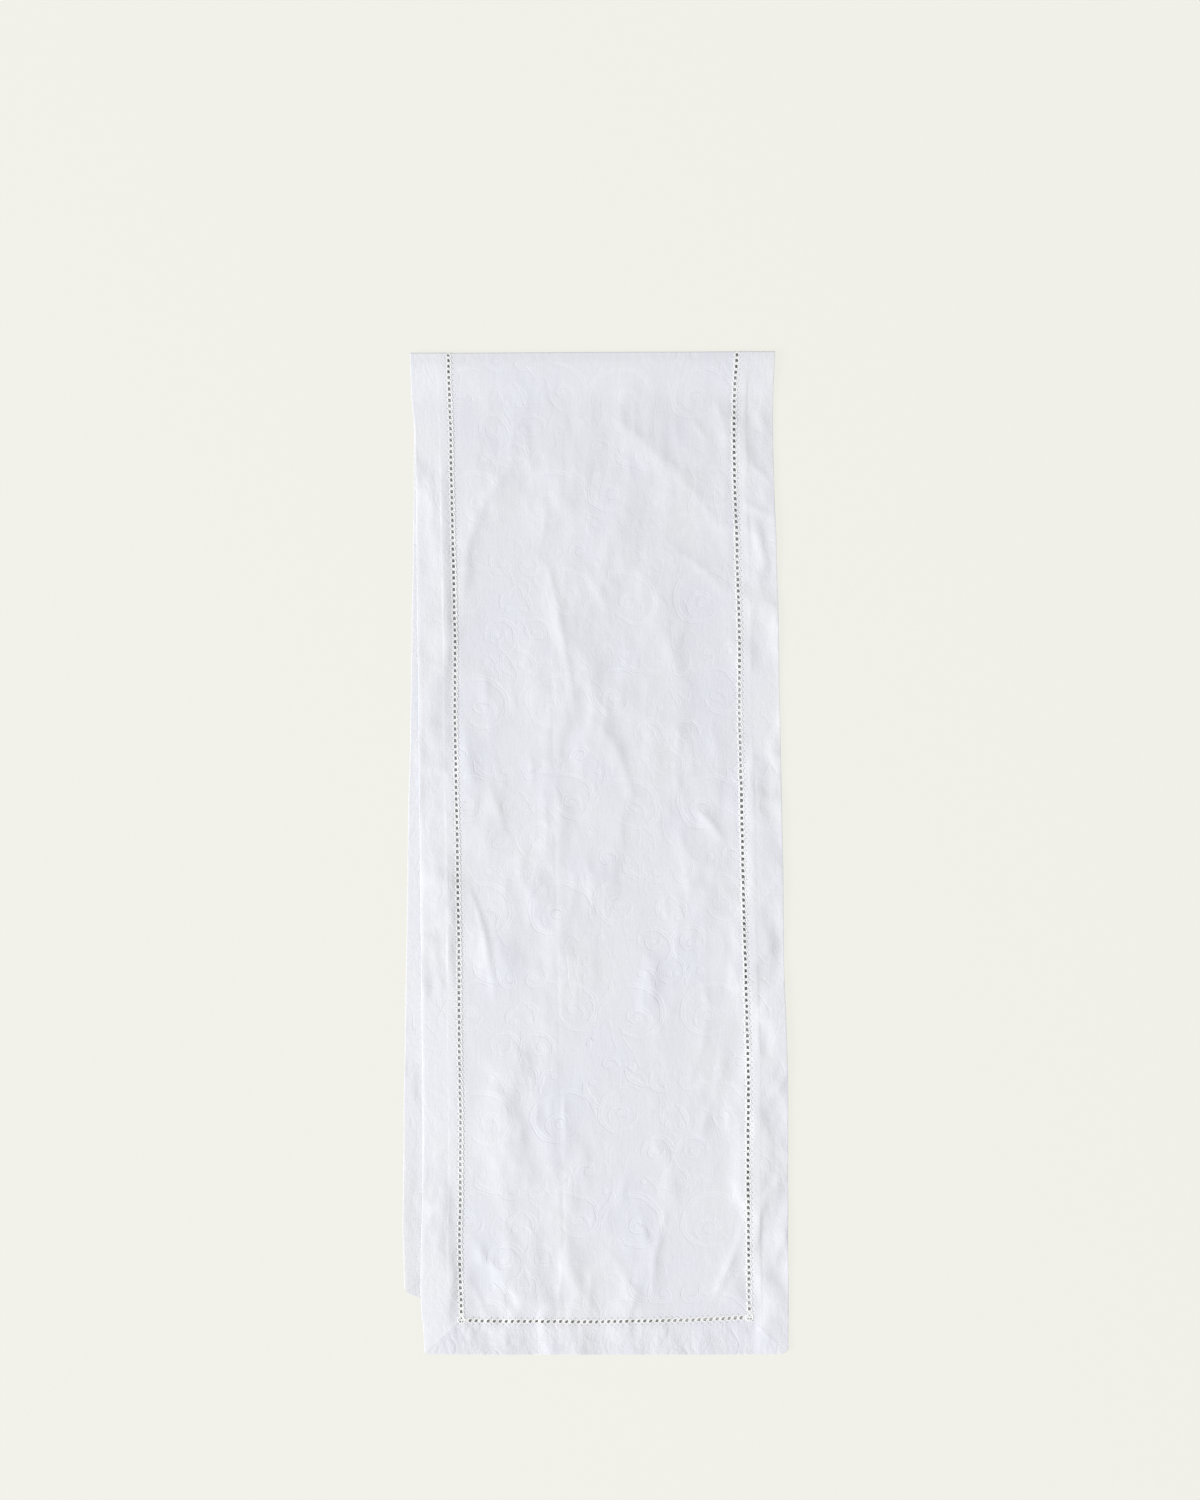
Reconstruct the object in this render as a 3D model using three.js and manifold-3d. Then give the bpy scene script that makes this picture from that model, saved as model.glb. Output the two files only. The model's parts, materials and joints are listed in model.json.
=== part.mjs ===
// A white damask table runner with a mitred, hemstitched border, folded once across its width to lie flat.
// Units are millimetres. X runs along the fold, +Y points from the free ends to the fold, +Z is up, and the
// runner rests on Z = 0. The lower leaf lies on the table, and the upper leaf hinges about the fold's axis.
import * as THREE from "three";
import { mergeVertices } from "three/addons/utils/BufferGeometryUtils.js";
import Module from "manifold-3d";

const wasm = await Module();
wasm.setup();

// Driving dimensions.
const CLOTH_WIDTH = 406;
const LOWER_LENGTH = 1065; // fold line to free end, along the middle of the lower leaf
const UPPER_LENGTH = 1122;
const LOWER_LEAN = THREE.MathUtils.degToRad(0.7); // how far each leaf leans off square to the fold
const UPPER_LEAN = THREE.MathUtils.degToRad(0.85);
const SIDE_HEM = 41.5;
const END_HEM = 37.5;
const STITCH_WIDTH = 2.8; // openwork between the hem and the panel
const MITRE_SEAM_WIDTH = 1.0;
const MITRE_SEAM_INSET = 0.1; // the seam's thread lies this far inside the border's two faces
const MITRE_SEAM_CLEARANCE = 2; // from each end of the seam to the corner it points at
const PANEL_THICKNESS = 0.5;
const HEM_LAYER = 0.4; // one layer of a border strip, which is folded double
const HEM_SLOT = 0.3; // air between a border strip's two layers
const HEM_FOLD_WIDTH = 1.2; // solid edge where a border strip turns back on itself
const FOLD_HEIGHT = 3.5; // the fold's centre line above the table
const FOLD_FLATS = 12; // flats round the fold's half turn
const GAP = 0.3; // between neighbouring pieces

// Sizes that follow from them.
const HEM_THICKNESS = 2 * HEM_LAYER + HEM_SLOT;
const HALF_WIDTH = CLOTH_WIDTH / 2;
const HEM_INNER = HALF_WIDTH - SIDE_HEM;
const STITCH_OUTER = HEM_INNER - GAP;
const STITCH_INNER = STITCH_OUTER - STITCH_WIDTH;
const PANEL_HALF = STITCH_INNER - GAP;
const PANEL_BOTTOM = (HEM_THICKNESS - PANEL_THICKNESS) / 2;
const MITRE_SEAM_HEIGHT = HEM_THICKNESS - 2 * MITRE_SEAM_INSET;
const MITRE_LENGTH = Math.hypot(SIDE_HEM, END_HEM);
const BIGHT_RADIUS = FOLD_HEIGHT - HEM_THICKNESS / 2; // to the middle of the cloth's thickness

const panelMaterial = new THREE.MeshStandardMaterial({ color: 0xe9eaf0, roughness: 0.75, metalness: 0 });
const hemMaterial = new THREE.MeshStandardMaterial({ color: 0xeeeff4, roughness: 0.8, metalness: 0 });
const threadMaterial = new THREE.MeshStandardMaterial({ color: 0xf6f6f9, roughness: 0.6, metalness: 0 });

// A flat slab: a plan outline, given as [x, y] corners, raised from z = bottom by its thickness.
function slab(outline, bottom, thickness) {
  const shape = new THREE.Shape(outline.map(([x, y]) => new THREE.Vector2(x, y)));
  const geometry = new THREE.ExtrudeGeometry(shape, { depth: thickness, bevelEnabled: false });
  return geometry.translate(0, 0, bottom);
}

function toSolid(geometry) {
  const plain = geometry.clone();
  plain.deleteAttribute("normal");
  plain.deleteAttribute("uv");
  const merged = mergeVertices(plain);
  return new wasm.Manifold(
    new wasm.Mesh({
      numProp: 3,
      vertProperties: merged.attributes.position.array,
      triVerts: new Uint32Array(merged.index.array),
    }),
  );
}

function toGeometry(solid) {
  const mesh = solid.getMesh();
  const geometry = new THREE.BufferGeometry();
  geometry.setAttribute("position", new THREE.BufferAttribute(mesh.vertProperties, 3));
  geometry.setIndex(new THREE.BufferAttribute(mesh.triVerts, 1));
  return geometry;
}

function named(name, geometry, material) {
  const mesh = new THREE.Mesh(geometry, material);
  mesh.name = name;
  return mesh;
}

// A border strip folded double: a slab with a slot that opens at its inner edge, short of its outer fold.
function doubledStrip(outline, slotOutline) {
  const strip = toSolid(slab(outline, 0, HEM_THICKNESS));
  const slot = toSolid(slab(slotOutline, HEM_LAYER, HEM_SLOT));
  return toGeometry(strip.subtract(slot));
}

// One leaf of the folded runner: made with its fold edge near y = 0 and its free end at y = -length, then
// turned about Z by turn. Each piece's fold edge is slanted, to lie along the fold line once it is turned.
function makeLeaf(prefix, length, turn) {
  const leaf = new THREE.Group();
  const foldEdge = (x) => (-GAP - x * Math.sin(turn)) / Math.cos(turn);
  const hemEnd = -(length - END_HEM);
  const stitchEnd = hemEnd + GAP;
  const panelEnd = stitchEnd + STITCH_WIDTH + GAP;

  // The mitre runs from the border's inner corner to the cloth's outer corner. Both strips stop short of
  // it, by setbacks measured along the cloth for the side strips and across it for the end strip.
  const mitreClearance = MITRE_SEAM_WIDTH / 2 + GAP;
  const sideSetback = (mitreClearance * MITRE_LENGTH) / SIDE_HEM;
  const endSetback = (mitreClearance * MITRE_LENGTH) / END_HEM;

  leaf.add(
    named(
      `${prefix}_panel`,
      slab(
        [
          [-PANEL_HALF, panelEnd],
          [PANEL_HALF, panelEnd],
          [PANEL_HALF, foldEdge(PANEL_HALF)],
          [-PANEL_HALF, foldEdge(-PANEL_HALF)],
        ],
        PANEL_BOTTOM,
        PANEL_THICKNESS,
      ),
      panelMaterial,
    ),
  );

  for (const [sideName, side] of [["left", -1], ["right", 1]]) {
    const outer = side * HALF_WIDTH;
    const inner = side * HEM_INNER;
    const slotOuter = side * (HALF_WIDTH - HEM_FOLD_WIDTH);
    const slotInner = side * (HEM_INNER - GAP); // past the inner edge, so that the slot opens there
    const slotTop = 2 * GAP + Math.abs(CLOTH_WIDTH * Math.sin(turn)); // past the fold edge
    leaf.add(
      named(
        `${prefix}_hem_${sideName}`,
        doubledStrip(
          [
            [outer, foldEdge(outer)],
            [inner, foldEdge(inner)],
            [inner, hemEnd + sideSetback],
            [outer, -length + sideSetback],
          ],
          [
            [slotOuter, slotTop],
            [slotInner, slotTop],
            [slotInner, -length],
            [slotOuter, -length],
          ],
        ),
        hemMaterial,
      ),
      named(
        `${prefix}_hemstitch_${sideName}`,
        slab(
          [
            [side * STITCH_OUTER, foldEdge(side * STITCH_OUTER)],
            [side * STITCH_INNER, foldEdge(side * STITCH_INNER)],
            [side * STITCH_INNER, stitchEnd],
            [side * STITCH_OUTER, stitchEnd],
          ],
          PANEL_BOTTOM,
          PANEL_THICKNESS,
        ),
        threadMaterial,
      ),
    );

    // The mitre seam is a narrow bar along the middle of the mitre.
    const seam = named(
      `${prefix}_mitre_seam_${sideName}`,
      new THREE.BoxGeometry(
        MITRE_LENGTH - 2 * MITRE_SEAM_CLEARANCE,
        MITRE_SEAM_WIDTH,
        MITRE_SEAM_HEIGHT,
      ),
      threadMaterial,
    );
    seam.position.set((outer + inner) / 2, (hemEnd - length) / 2, HEM_THICKNESS / 2);
    seam.rotation.z = Math.atan2(-END_HEM, side * SIDE_HEM);
    leaf.add(seam);
  }

  leaf.add(
    named(
      `${prefix}_hem_end`,
      doubledStrip(
        [
          [-HALF_WIDTH + endSetback, -length],
          [HALF_WIDTH - endSetback, -length],
          [HEM_INNER - endSetback, hemEnd],
          [-HEM_INNER + endSetback, hemEnd],
        ],
        [
          [-HALF_WIDTH, -length + HEM_FOLD_WIDTH],
          [HALF_WIDTH, -length + HEM_FOLD_WIDTH],
          [HALF_WIDTH, hemEnd + GAP],
          [-HALF_WIDTH, hemEnd + GAP],
        ],
      ),
      hemMaterial,
    ),
    named(
      `${prefix}_hemstitch_end`,
      slab(
        [
          [-PANEL_HALF, stitchEnd],
          [PANEL_HALF, stitchEnd],
          [PANEL_HALF, stitchEnd + STITCH_WIDTH],
          [-PANEL_HALF, stitchEnd + STITCH_WIDTH],
        ],
        PANEL_BOTTOM,
        PANEL_THICKNESS,
      ),
      threadMaterial,
    ),
  );

  leaf.rotation.z = turn;
  return leaf;
}

// A piece of the half-round bight that joins the leaves: a C-shaped section that runs from fromX to toX.
function bight(name, fromX, toX, thickness, material) {
  const section = new THREE.Shape();
  section.absarc(0, 0, BIGHT_RADIUS + thickness / 2, -Math.PI / 2, Math.PI / 2, false);
  section.absarc(0, 0, BIGHT_RADIUS - thickness / 2, Math.PI / 2, -Math.PI / 2, true);
  const geometry = new THREE.ExtrudeGeometry(section, {
    depth: toX - fromX,
    bevelEnabled: false,
    curveSegments: FOLD_FLATS,
  });
  // The section is drawn in Y and Z, and runs along X.
  geometry.applyMatrix4(
    new THREE.Matrix4().makeBasis(
      new THREE.Vector3(0, 1, 0),
      new THREE.Vector3(0, 0, 1),
      new THREE.Vector3(1, 0, 0),
    ),
  );
  const mesh = named(name, geometry, material);
  mesh.position.set(fromX, 0, FOLD_HEIGHT);
  return mesh;
}

const runner = new THREE.Group();
runner.add(makeLeaf("lower", LOWER_LENGTH, -LOWER_LEAN));

const upperLeaf = makeLeaf("upper", UPPER_LENGTH, UPPER_LEAN);
upperLeaf.position.z = 2 * FOLD_HEIGHT - HEM_THICKNESS;
runner.add(upperLeaf);

runner.add(
  bight("fold_panel", -PANEL_HALF, PANEL_HALF, PANEL_THICKNESS, panelMaterial),
  bight("fold_hemstitch_left", -STITCH_OUTER, -STITCH_INNER, PANEL_THICKNESS, threadMaterial),
  bight("fold_hemstitch_right", STITCH_INNER, STITCH_OUTER, PANEL_THICKNESS, threadMaterial),
  bight("fold_hem_left", -HALF_WIDTH, -HEM_INNER, HEM_THICKNESS, hemMaterial),
  bight("fold_hem_right", HEM_INNER, HALF_WIDTH, HEM_THICKNESS, hemMaterial),
);

// The origin is the middle of the runner's outline, on the table.
const bounds = new THREE.Box3().setFromObject(runner);
const centre = bounds.getCenter(new THREE.Vector3());
runner.position.set(-centre.x, -centre.y, -bounds.min.z);

export default runner;
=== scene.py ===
"""A white damask table runner, folded once across its width and lying flat: its looks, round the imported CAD
frame.

The runner is laid out flat first, in cloth coordinates: u across the cloth and v along it, with the upper
leaf at positive v and the lower leaf at negative v, and n out of the side that faces out once it is folded.
lay() folds that flat cloth and drapes it, and every piece goes through it, so the pieces stay together.
Cloth coordinates and sizes are in millimetres; meshes are in metres, in the frame of the CAD model.
"""
import json
import math

import bpy
import numpy as np
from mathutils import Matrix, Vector

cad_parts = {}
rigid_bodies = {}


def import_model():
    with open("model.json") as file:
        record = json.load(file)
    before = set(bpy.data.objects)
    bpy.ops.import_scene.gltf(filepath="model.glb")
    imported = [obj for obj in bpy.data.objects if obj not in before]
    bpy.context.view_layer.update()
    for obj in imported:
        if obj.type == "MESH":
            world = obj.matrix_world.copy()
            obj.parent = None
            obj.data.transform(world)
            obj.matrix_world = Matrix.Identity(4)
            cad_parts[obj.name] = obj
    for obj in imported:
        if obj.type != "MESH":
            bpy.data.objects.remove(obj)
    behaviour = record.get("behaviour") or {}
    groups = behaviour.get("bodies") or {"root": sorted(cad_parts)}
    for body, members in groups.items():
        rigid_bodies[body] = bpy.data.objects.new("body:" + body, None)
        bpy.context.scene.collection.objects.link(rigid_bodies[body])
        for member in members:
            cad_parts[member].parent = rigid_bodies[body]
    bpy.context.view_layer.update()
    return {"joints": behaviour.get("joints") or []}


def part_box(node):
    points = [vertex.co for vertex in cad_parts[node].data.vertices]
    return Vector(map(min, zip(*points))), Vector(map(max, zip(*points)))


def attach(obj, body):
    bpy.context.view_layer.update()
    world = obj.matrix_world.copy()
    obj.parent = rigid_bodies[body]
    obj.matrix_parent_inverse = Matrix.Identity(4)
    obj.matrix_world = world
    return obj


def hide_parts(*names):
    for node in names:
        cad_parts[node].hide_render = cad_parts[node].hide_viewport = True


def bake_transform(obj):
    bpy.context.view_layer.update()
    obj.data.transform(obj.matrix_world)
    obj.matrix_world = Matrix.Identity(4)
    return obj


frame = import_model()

MM = 0.001
X, Y, Z = 0, 1, 2

# ---------------------------------------------------------------- sizes, from the frame

HINGE = frame["joints"][0]
UPPER_BODY = HINGE["child"]
LOWER_BODY = HINGE["parent"]
FAN = math.radians(0.85)  # the upper leaf leans this far off square to the fold
LOWER_LEAN = math.radians(0.7)  # and the lower leaf this far, the other way


def low(node, axis):
    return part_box(node)[0][axis] / MM


def high(node, axis):
    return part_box(node)[1][axis] / MM


def reach(end_hem, lean):
    """How far a leaf reaches from the fold's axis, along its middle: its end hem's box holds the whole
    slant."""
    slant = 2 * HALF_WIDTH * math.sin(lean)
    return (FOLD_Y - low(end_hem, Y) - slant / 2) / math.cos(lean)


FOLD_X = (low("fold_panel", X) + high("fold_panel", X)) / 2
FOLD_Y = HINGE["pos_m"][Y] / MM
FOLD_Z = HINGE["pos_m"][Z] / MM
HALF_WIDTH = (high("fold_hem_right", X) - low("fold_hem_left", X)) / 2
SIDE_HEM = high("fold_hem_right", X) - low("fold_hem_right", X)
HEM_THICKNESS = high("lower_hem_end", Z) - low("lower_hem_end", Z)
UPPER_SLANT = 2 * HALF_WIDTH * math.sin(FAN)  # how much further one corner of its end reaches than the other
END_HEM = (high("upper_hem_end", Y) - low("upper_hem_end", Y) - UPPER_SLANT) / math.cos(FAN)
UPPER_REACH = reach("upper_hem_end", FAN)
LOWER_REACH = reach("lower_hem_end", LOWER_LEAN)

RISE = FOLD_Z - HEM_THICKNESS / 2  # from the fold's axis up or down to the middle of the cloth beside it
BULGE = 1.2  # how far the fold's rounded nose stands out past the end of the leaves
BIGHT = math.pi / 2 * (RISE + BULGE) / 2  # half the cloth that goes round the fold
UPPER_END = UPPER_REACH + BIGHT  # the free ends, in cloth coordinates
LOWER_END = LOWER_REACH + BIGHT

# ---------------------------------------------------------------- sizes of the sewing and the cloth

ROW_HALF = 1.7  # from the middle of a hemstitch row to the cloth on either side of it
ROW_U = HALF_WIDTH - SIDE_HEM - ROW_HALF
PANEL_U = ROW_U - ROW_HALF
ROW_INSET = END_HEM + ROW_HALF  # from a free end to the middle of its hemstitch row
UPPER_ROW = UPPER_REACH - ROW_INSET  # the end rows, measured down each leaf from the fold
LOWER_ROW = LOWER_REACH - ROW_INSET
CLOTH = 0.36  # thickness of one layer
SIDE_PITCH = 6.55  # from one hemstitch hole to the next along the sides
END_PITCH = 6.71  # and across the ends
ROSETTE = 3.8  # radius of the worked ring where two rows meet
TURN_IN = 12.0  # how far the raw edge reaches inside the hem, from the hemstitching

# ---------------------------------------------------------------- the drape


def smooth(t):
    t = np.clip(t, 0, 1)
    return t * t * (3 - 2 * t)


def between(x, start, end, ramp):
    return smooth((x - start) / ramp) * smooth((end - x) / ramp)


def hump(distance, width):
    return np.exp(-((distance / width) ** 2))


def noise(x, y, seed):
    """Smooth random hills from -1 to 1, about one unit of x and y apart."""
    x, y = np.broadcast_arrays(x, y)
    lattice = np.random.RandomState(seed).uniform(-1, 1, (128, 128))
    col, row = np.floor(x).astype(int), np.floor(y).astype(int)
    fx, fy = x - col, y - row
    fx, fy = fx**3 * (fx * (fx * 6 - 15) + 10), fy**3 * (fy * (fy * 6 - 15) + 10)
    a, b = lattice[row % 128, col % 128], lattice[row % 128, (col + 1) % 128]
    c, d = lattice[(row + 1) % 128, col % 128], lattice[(row + 1) % 128, (col + 1) % 128]
    return (a * (1 - fx) + b * fx) * (1 - fy) + (c * (1 - fx) + d * fx) * fy


CRUMPLE = [(95, 0.9), (45, 0.8), (22, 0.47), (11, 0.19)]  # sizes of the hills, and their heights
CRINKLE = [(30, 0.22), (15, 0.11)]  # sizes and heights of the sharper creases between them
LENGTHWAYS = 1.6  # hills and creases are this much longer along the cloth than across it


def crumple(u, s, seed):
    """The unironed unevenness all over: hills of several sizes, each turned so that no grid shows."""
    total = np.zeros(np.broadcast(u, s).shape)
    for k, (size, height) in enumerate(CRUMPLE + CRINKLE):
        turn = 0.6 + 1.1 * k
        a, b = u / size, s / size / LENGTHWAYS
        across, along = a * math.cos(turn) - b * math.sin(turn), a * math.sin(turn) + b * math.cos(turn)
        hills = noise(across, along, seed + k)
        total += height * (hills if k < len(CRUMPLE) else 0.5 - np.abs(hills) * 2)
    return total


def crest(distance, width):
    """1 at 0, falling away on both sides from a crisp top."""
    return np.exp(1 - np.sqrt(1 + (2 * distance / width) ** 2))


def wrinkle(u, s, points, height, width):
    """A ridge (or a valley, where height is negative) that runs through points and dies out at its ends."""
    knots = np.array(points, float)
    lengths = np.linalg.norm(np.diff(knots, axis=0), axis=1)
    travel = np.concatenate([[0], np.cumsum(lengths)])
    steps = np.linspace(0, travel[-1], 10)
    path = np.stack([np.interp(steps, travel, knots[:, k]) for k in (0, 1)], 1)
    for _ in range(2):
        path[1:-1] = (path[:-2] + 2 * path[1:-1] + path[2:]) / 4
    nearest = np.full(np.broadcast(u, s).shape, 1e9)
    place = np.zeros_like(nearest)
    for k in range(len(path) - 1):
        a, d = path[k], path[k + 1] - path[k]
        t = np.clip(((u - a[0]) * d[0] + (s - a[1]) * d[1]) / (d @ d), 0, 1)
        away = np.hypot(u - a[0] - t * d[0], s - a[1] - t * d[1])
        closer = away < nearest
        nearest = np.where(closer, away, nearest)
        place = np.where(closer, (k + t) / (len(path) - 1), place)
    swell = np.sin(math.pi * np.clip(place, 0, 1)) ** 0.6
    spread = 0.85 * width * (0.75 + 0.25 * swell)
    return height * swell * crest(nearest, spread)


# Wrinkles of the upper leaf: points (u, s), with s measured down the leaf from the fold, then height and
# width.
UPPER_WRINKLES = [
    # The arch below the fold: its right side, then its left.
    ([(15, 69), (40, 90), (62, 110), (89, 135), (109, 161), (131, 188), (143, 209)], 1.3, 12),
    ([(95, 230), (121, 250), (143, 275)], 0.9, 8),
    ([(109, 76), (119, 90), (128, 108)], 0.6, 6),
    ([(135, 53), (144, 78), (151, 106)], 0.7, 7),
    ([(-96, 129), (-119, 157), (-133, 178), (-144, 210), (-150, 244), (-152, 290)], 1.3, 10),
    ([(-79, 84), (-77, 112), (-73, 141)], 0.6, 8),
    ([(-135, 37), (-139, 82), (-142, 127)], -0.9, 14),
    ([(-61, 153), (-56, 189), (-60, 219)], 0.4, 8),
    # Diagonals down the middle, from upper left to lower right.
    ([(-60, 232), (-48, 267), (-43, 305), (-38, 340), (-33, 366), (-28, 391), (-27, 418)], 1.2, 9),
    ([(-14, 242), (0, 270), (12, 297)], 0.7, 9),
    ([(-2, 421), (12, 438), (22, 456), (31, 476), (34, 506)], 1.5, 12),
    ([(90, 421), (87, 451), (86, 481), (88, 511)], 1.2, 8),
    ([(106, 516), (122, 534), (138, 556)], 1.3, 7),
    ([(-131, 357), (-126, 381), (-126, 406)], 0.7, 9),
    ([(-101, 350), (-98, 378), (-96, 408)], 0.6, 6),
    ([(-124, 484), (-115, 516), (-105, 551)], 0.8, 8),
    ([(-80, 438), (-77, 466), (-77, 498)], 0.9, 8),
    ([(-66, 494), (-62, 526), (-60, 554)], 0.5, 6),
    # Beside the left hemstitching.
    ([(-152, 588), (-139, 628), (-129, 666), (-125, 706), (-121, 741)], 1.2, 6),
    ([(-156, 578), (-141, 610), (-126, 646)], -0.5, 4),
    ([(-155, 726), (-150, 756), (-145, 780)], 0.6, 6),
    ([(-100, 762), (-96, 790), (-90, 819)], 0.8, 10),
    ([(-92, 758), (-79, 777), (-72, 805)], -0.8, 7),
    ([(-153, 985), (-137, 1014), (-111, 1034)], 0.9, 9),
    ([(-114, 1048), (-107, 1059), (-99, 1075)], -1.0, 5),
    ([(-149, 1042), (-142, 1059), (-136, 1079)], 0.8, 5),
    # Beside the right hemstitching, and the folds that run down from it to the left.
    ([(143, 646), (139, 696), (133, 741), (125, 780), (117, 820)], -0.9, 9),
    ([(111, 701), (117, 736), (112, 775), (103, 805), (87, 829)], 1.0, 9),
    ([(131, 827), (130, 865), (128, 904), (133, 948)], -1.1, 9),
    ([(124, 833), (113, 860), (104, 886)], 0.9, 8),
    ([(15, 666), (40, 678), (66, 690)], 0.9, 8),
    ([(52, 704), (56, 738)], 0.5, 7),
    ([(73, 880), (50, 897), (30, 916), (15, 938), (8, 963)], 1.3, 9),
    ([(72, 953), (61, 978), (54, 1002), (51, 1032), (47, 1063)], 1.3, 7),
    ([(89, 1024), (80, 1050), (76, 1077)], 0.9, 7),
    ([(33, 1052), (24, 1077)], 0.8, 4),
    ([(150, 983), (141, 1012), (127, 1044), (107, 1075)], 1.8, 7),
    ([(-20, 1052), (-22, 1079)], 0.6, 5),
    ([(-30, 924), (-26, 948), (-34, 978)], -0.5, 6),
    # Creases across the right hem.
    ([(184, 67), (192, 94), (185, 120)], 0.8, 7),
    ([(170, 102), (171, 141)], 0.7, 5),
    ([(175, 129), (187, 143), (199, 155)], 0.8, 6),
    ([(163, 175), (181, 181), (201, 195)], 0.9, 6),
    ([(178, 194), (185, 226), (191, 256)], 1.3, 8),
    ([(162, 468), (182, 465), (202, 458)], 0.8, 6),
    ([(202, 596), (188, 614), (168, 633)], 1.6, 7),
    ([(202, 656), (187, 674), (171, 696)], 0.8, 7),
    ([(202, 714), (185, 736), (171, 756)], 1.4, 7),
    ([(169, 748), (172, 790), (173, 840)], 1.4, 9),
    ([(203, 811), (191, 835), (177, 851)], 1.4, 6),
    ([(167, 843), (168, 884), (175, 912), (188, 929)], 1.3, 8),
    ([(181, 855), (184, 892), (196, 920)], -0.8, 6),
    ([(200, 926), (184, 941), (170, 959), (165, 1007)], 1.3, 7),
    ([(202, 988), (192, 1002), (184, 1032)], 0.9, 7),
    # Creases across the left hem.
    ([(-187, 149), (-184, 178), (-187, 208)], 0.7, 6),
    ([(-190, 648), (-184, 696), (-179, 728)], 1.2, 9),
    ([(-196, 853), (-179, 866), (-163, 874)], 1.0, 6),
    ([(-164, 882), (-181, 896), (-199, 907)], 1.0, 6),
    ([(-201, 305), (-183, 313), (-169, 305)], 0.7, 7),
    ([(-203, 355), (-185, 351), (-171, 364)], 0.6, 7),
    ([(-200, 471), (-184, 466), (-168, 476)], 0.7, 7),
    ([(-192, 546), (-186, 576), (-190, 610)], 0.8, 8),
    ([(-199, 746), (-185, 754), (-171, 748)], 0.7, 6),
    ([(-187, 785), (-181, 815)], 0.6, 7),
]
# Ripples straight across the end hem, where the hemstitching gathers it: where each one crosses it, and its
# height.
END_RIPPLES = [(-130, -0.9), (-111, 0.9), (-84, -0.6), (-66, 0.2), (-52, -0.3), (-40, -0.3), (-27, 0.8),
               (-2, -0.8), (28, 0.9), (48, -0.9), (68, 0.9), (90, -0.9), (115, 0.6), (149, 1.3)]
MITRE_RIDGE = 0.55  # the mitres stand up this much, because the cloth is folded under them

# How far the lines of the cloth are drawn sideways from where they lay flat: points (s, shift) down each
# leaf.
UPPER_SIDEWAYS = {
    -HALF_WIDTH: [(0, -5), (55, -3.6), (85, -0.4), (110, 0), (900, 0), (985, -3), (1040, -4.5), (1070, -4),
                  (1100, -1)],
    -ROW_U: [(0, -4.7), (93, -3.2), (229, -2), (320, -0.8), (410, -2.3), (545, -1.2), (679, -0.6),
             (790, -1.7), (856, -0.6), (944, -2), (988, -3.8), (1032, -3.6), (1076, -2.4)],
    ROW_U: [(0, 2), (47, -1.9), (93, -3.3), (138, -3.5), (229, -2.1), (320, -1.1), (410, -2.6), (590, -2),
            (723, -1.2), (812, -0.2), (900, -1.9), (966, -3), (1032, -3.6)],
    HALF_WIDTH: [(0, 1.9), (47, -1.6), (93, -2.8), (190, -1.7), (275, -0.4), (455, -0.6), (590, -0.2),
                 (701, -1.8), (812, 0.7), (900, -0.6), (988, -2.6), (1070, -3.6), (1108, -4.8)],
}
LOWER_SIDEWAYS = {
    -HALF_WIDTH: [(0, -5), (47, -2), (93, 1.2), (184, 2.1), (455, 2.1), (545, 1.4), (634, 2), (856, 2),
                  (900, 2.9), (988, 2.6), (1032, 5.1), (1065, 6)],
    -ROW_U: [(0, -4.7), (28, -3.7), (55, -2.6), (80, -5), (150, -2.8), (229, 0), (300, 1.5)],
    ROW_U: [(0, 2), (24, -3.5), (93, -5), (300, -1)],
    HALF_WIDTH: [(0, 1.9), (47, -1.6), (300, 0)],
}
# And how far lengthways, away from the fold: points (u, shift) along the end row and along the free edge.
ROW_LENGTHWAYS = [(-HALF_WIDTH, -3), (-162, -2.6), (-152, -1.4), (-16, 2.2), (90, 1.6), (150, -0.2),
                  (HALF_WIDTH, -0.8)]
EDGE_LENGTHWAYS = [(-HALF_WIDTH, -3.6), (-16, -0.2), (189, 2.3), (HALF_WIDTH, 1.5)]
UPPER_CORNERS = (5, 8)  # the free corners are rounded: radius on the left and on the right
LOWER_CORNERS = (8, 8)
LOWER_CORNER_BACK = 3.6  # the lower leaf's left corner is drawn back this much further than its end


def softly(place, knots):
    """A curve that passes close to the knots, (place, value), without their corners."""
    places, values = zip(*knots)
    return sum(np.interp(place + step, places, values) for step in (-12, -6, 0, 6, 12)) / 5


def drawn_back(u):
    """How far short of the fold's axis the leaves end, most of all on the left."""
    return 1.7 - u / HALF_WIDTH + 0.3 * noise(u / 50, 0.5, 95)


def drawn(u, s, sideways, corners, row, end):
    """Where a leaf's cloth at (u, s) lies in its own plane, once the sewing and the packing have drawn it
    about."""
    lines = sorted(sideways)
    shifts = [softly(s, sideways[line]) for line in lines]
    aside = shifts[0]
    for k in range(len(lines) - 1):
        share = np.clip((u - lines[k]) / (lines[k + 1] - lines[k]), 0, 1)
        aside = aside + (shifts[k + 1] - shifts[k]) * share
    aside = aside + 0.3 * noise(s / 42, u / 300, 92) * smooth(s / 60)
    in_hem = np.clip((s - row) / (end - row), 0, 1)
    down = softly(u, ROW_LENGTHWAYS) * (1 - in_hem) + softly(u, EDGE_LENGTHWAYS) * in_hem
    down = (down + 0.4 * noise(u / 60, s / 300, 93)) * smooth((s - row + 170) / 150)
    down = down + drawn_back(u) * np.exp(-s / 70)
    radius = np.where(u > 0, corners[1], corners[0])
    across = np.clip((np.abs(u) - HALF_WIDTH + radius) / radius, 0, 1)
    along = np.clip((s - end + radius) / radius, 0, 1)
    aside = aside - np.sign(u) * radius * across * (1 - np.sqrt(1 - along**2 / 2))
    down = down - radius * along * (1 - np.sqrt(1 - across**2 / 2))
    return u + aside, s + down


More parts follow.
